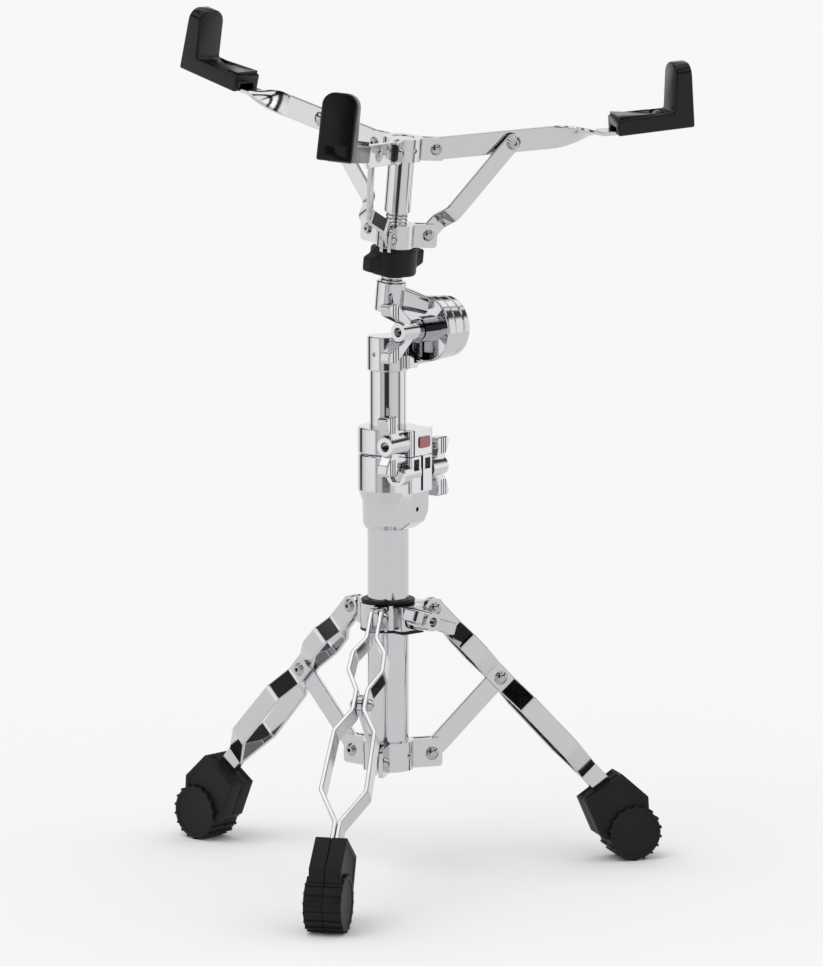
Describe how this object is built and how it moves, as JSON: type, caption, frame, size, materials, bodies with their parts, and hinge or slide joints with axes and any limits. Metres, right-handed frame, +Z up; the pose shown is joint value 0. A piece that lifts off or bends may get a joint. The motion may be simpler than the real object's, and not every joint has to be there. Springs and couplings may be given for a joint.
{
  "type": "snare drum stand",
  "caption": "Folding tripod snare drum stand with telescopic column, brake-drum tilter and adjustable three-arm basket with rubber tips.",
  "frame": {"origin": "on the floor under the column axis", "axes": "+Z up the column; the front leg points along -Y, the others 120 degrees either side"},
  "size_m": [0.3748, 0.3238, 0.5949],
  "materials": {
    "chromed_steel": "polished chrome plate on steel strip and tube",
    "chromed_casting": "polished chrome plate on zinc die castings",
    "bolts": "plated bolts and rivets",
    "black_rubber": "matte moulded rubber",
    "gloss_rubber": "smooth dipped rubber",
    "black_plastic": "moulded nylon",
    "badge": "plain enamel"
  },
  "bodies": {
    "base": {"base_tube": "chromed_steel", "lower_collar": "chromed_casting", "collar_screw": "bolts", "collar_pivot_bolts": "bolts", "height_clamp": "chromed_casting", "clamp_bushing": "black_plastic", "clamp_bolt": "bolts"},
    "hub": {"leg_hub": "chromed_casting", "hub_sleeve": "black_plastic", "hub_pivot_bolts": "bolts"},
    "hub_screw": {"hub_wing_screw": "chromed_casting"},
    "clamp_nut": {"clamp_wing_nut": "chromed_casting"},
    "lock": {"memory_lock": "chromed_casting", "lock_badge": "badge"},
    "lock_screw": {"lock_wing_screw": "chromed_casting"},
    "column": {"upper_tube": "chromed_steel", "tilter_lower": "chromed_casting", "tilter_set_screw": "bolts", "tilter_cap": "chromed_casting", "tilter_bolt": "bolts"},
    "tilter_nut": {"tilter_wing_nut": "chromed_casting"},
    "basket": {"tilter_upper": "chromed_casting", "basket_rod": "chromed_steel", "basket_post": "chromed_steel", "basket_upper_collar": "chromed_casting", "upper_collar_set_screw": "bolts", "upper_collar_pivot_bolts": "bolts"},
    "basket_slider": {"basket_lower_collar": "chromed_casting", "lower_collar_pivot_bolts": "bolts"},
    "knob": {"basket_knob": "black_plastic"},
    "leg_front": {"leg_strip_front_near": "chromed_steel", "leg_strip_front_far": "chromed_steel", "rubber_foot_front": "black_rubber", "leg_mid_pins_front": "bolts"},
    "brace_front": {"leg_brace_front": "chromed_steel"},
    "arm_front": {"basket_arm_front": "chromed_steel", "rubber_tip_front": "gloss_rubber", "arm_rivet_front": "bolts"},
    "arm_brace_front": {"arm_brace_front": "chromed_steel"},
    "leg_right": {"leg_strip_right_near": "chromed_steel", "leg_strip_right_far": "chromed_steel", "rubber_foot_right": "black_rubber", "leg_mid_pins_right": "bolts"},
    "brace_right": {"leg_brace_right": "chromed_steel"},
    "arm_right": {"basket_arm_right": "chromed_steel", "rubber_tip_right": "gloss_rubber", "arm_rivet_right": "bolts"},
    "arm_brace_right": {"arm_brace_right": "chromed_steel"},
    "leg_left": {"leg_strip_left_near": "chromed_steel", "leg_strip_left_far": "chromed_steel", "rubber_foot_left": "black_rubber", "leg_mid_pins_left": "bolts"},
    "brace_left": {"leg_brace_left": "chromed_steel"},
    "arm_left": {"basket_arm_left": "chromed_steel", "rubber_tip_left": "gloss_rubber", "arm_rivet_left": "bolts"},
    "arm_brace_left": {"arm_brace_left": "chromed_steel"}
  },
  "joints": [
    {"name": "hub_slide", "type": "slide", "parent": "base", "child": "hub", "axis": [0, 0, 1], "range_m": [0, 0.0385]},
    {"name": "hub_wing_screw_turn", "type": "hinge", "parent": "hub", "child": "hub_screw", "pos_m": [0, 0, 0.1843], "axis": [0.8192, -0.5736, 0], "continuous": true},
    {"name": "clamp_wing_nut_turn", "type": "hinge", "parent": "base", "child": "clamp_nut", "pos_m": [0.02696, 0.01068, 0.2858], "axis": [0.3746, 0.9272, 0], "continuous": true},
    {"name": "height_slide", "type": "slide", "parent": "base", "child": "lock", "axis": [0, 0, 1], "range_m": [0, 0.15]},
    {"name": "lock_wing_screw_turn", "type": "hinge", "parent": "lock", "child": "lock_screw", "pos_m": [0.01198, -0.02641, 0.3065], "axis": [-0.3746, -0.9272, 0], "continuous": true},
    {"name": "upper_tube_turn", "type": "hinge", "parent": "lock", "child": "column", "pos_m": [0, 0, 0.35], "axis": [0, 0, 1], "continuous": true},
    {"name": "tilter_wing_nut_turn", "type": "hinge", "parent": "column", "child": "tilter_nut", "pos_m": [0.01732, -0.01, 0.383], "axis": [-0.5, -0.866, 0], "range_deg": [-5, 90]},
    {"name": "basket_tilt", "type": "hinge", "parent": "column", "child": "basket", "pos_m": [0.01732, -0.01, 0.383], "axis": [0.5, 0.866, 0], "range_deg": [-18, 80]},
    {"name": "knob_turn", "type": "hinge", "parent": "basket_slider", "child": "knob", "pos_m": [0.0045, -0.0026, 0.43189], "axis": [0.0935, -0.054, 0.9942], "range_deg": [-650, 1082]},
    {"name": "basket_slide", "type": "slide", "parent": "basket", "child": "basket_slider", "axis": [0.0935, -0.054, 0.9942], "range_m": [-0.0045, 0.0075]},
    {"name": "leg_fold_front", "type": "hinge", "parent": "hub", "child": "leg_front", "pos_m": [0, -0.0325, 0.1866], "axis": [1, 0, 0], "range_deg": [0, 37.09]},
    {"name": "brace_fold_front", "type": "hinge", "parent": "base", "child": "brace_front", "pos_m": [0, -0.0305, 0.0848], "axis": [-1, 0, 0], "range_deg": [0, 37.15]},
    {"name": "leg_fold_right", "type": "hinge", "parent": "hub", "child": "leg_right", "pos_m": [0.02815, 0.01625, 0.1866], "axis": [-0.5, 0.866, 0], "range_deg": [0, 37.09]},
    {"name": "brace_fold_right", "type": "hinge", "parent": "base", "child": "brace_right", "pos_m": [0.02641, 0.01525, 0.0848], "axis": [0.5, -0.866, 0], "range_deg": [0, 37.15]},
    {"name": "leg_fold_left", "type": "hinge", "parent": "hub", "child": "leg_left", "pos_m": [-0.02815, 0.01625, 0.1866], "axis": [-0.5, -0.866, 0], "range_deg": [0, 37.09]},
    {"name": "brace_fold_left", "type": "hinge", "parent": "base", "child": "brace_left", "pos_m": [-0.02641, 0.01525, 0.0848], "axis": [0.5, 0.866, 0], "range_deg": [0, 37.15]},
    {"name": "arm_lift_front", "type": "hinge", "parent": "basket", "child": "arm_front", "pos_m": [0.01162, -0.02971, 0.50699], "axis": [-0.9956, -0.0025, 0.0935], "range_deg": [-5.81, 9.66]},
    {"name": "arm_brace_lift_front", "type": "hinge", "parent": "basket_slider", "child": "arm_brace_front", "pos_m": [0.00604, -0.02589, 0.44768], "axis": [-0.9956, -0.0025, 0.0935], "range_deg": [-1, 1.63]},
    {"name": "arm_lift_right", "type": "hinge", "parent": "basket", "child": "arm_right", "pos_m": [0.03154, 0.00479, 0.50699], "axis": [0.4956, -0.8635, -0.0935], "range_deg": [-5.81, 9.66]},
    {"name": "arm_brace_lift_right", "type": "hinge", "parent": "basket_slider", "child": "arm_brace_right", "pos_m": [0.02544, 0.00771, 0.44768], "axis": [0.4956, -0.8635, -0.0935], "range_deg": [-1, 1.63]},
    {"name": "arm_lift_left", "type": "hinge", "parent": "basket", "child": "arm_left", "pos_m": [-0.00812, 0.00469, 0.51072], "axis": [0.5, 0.866, 0], "range_deg": [-5.81, 9.66]},
    {"name": "arm_brace_lift_left", "type": "hinge", "parent": "basket_slider", "child": "arm_brace_left", "pos_m": [-0.01319, 0.00761, 0.4513], "axis": [0.5, 0.866, 0], "range_deg": [-1, 1.63]}
  ],
  "couplings": [
    {"joint": "knob_turn", "follows": "basket_slide", "rad_per_m": 2513.3},
    {"joint": "leg_fold_front", "follows": "hub_slide", "rad_per_m": 16.789},
    {"joint": "brace_fold_front", "follows": "hub_slide", "rad_per_m": 16.818},
    {"joint": "leg_fold_right", "follows": "hub_slide", "rad_per_m": 16.789},
    {"joint": "brace_fold_right", "follows": "hub_slide", "rad_per_m": 16.818},
    {"joint": "leg_fold_left", "follows": "hub_slide", "rad_per_m": 16.789},
    {"joint": "brace_fold_left", "follows": "hub_slide", "rad_per_m": 16.818},
    {"joint": "arm_lift_front", "follows": "basket_slide", "rad_per_m": 22.359},
    {"joint": "arm_brace_lift_front", "follows": "basket_slide", "rad_per_m": 3.6812},
    {"joint": "arm_lift_right", "follows": "basket_slide", "rad_per_m": 22.359},
    {"joint": "arm_brace_lift_right", "follows": "basket_slide", "rad_per_m": 3.6812},
    {"joint": "arm_lift_left", "follows": "basket_slide", "rad_per_m": 22.359},
    {"joint": "arm_brace_lift_left", "follows": "basket_slide", "rad_per_m": 3.6812}
  ]
}
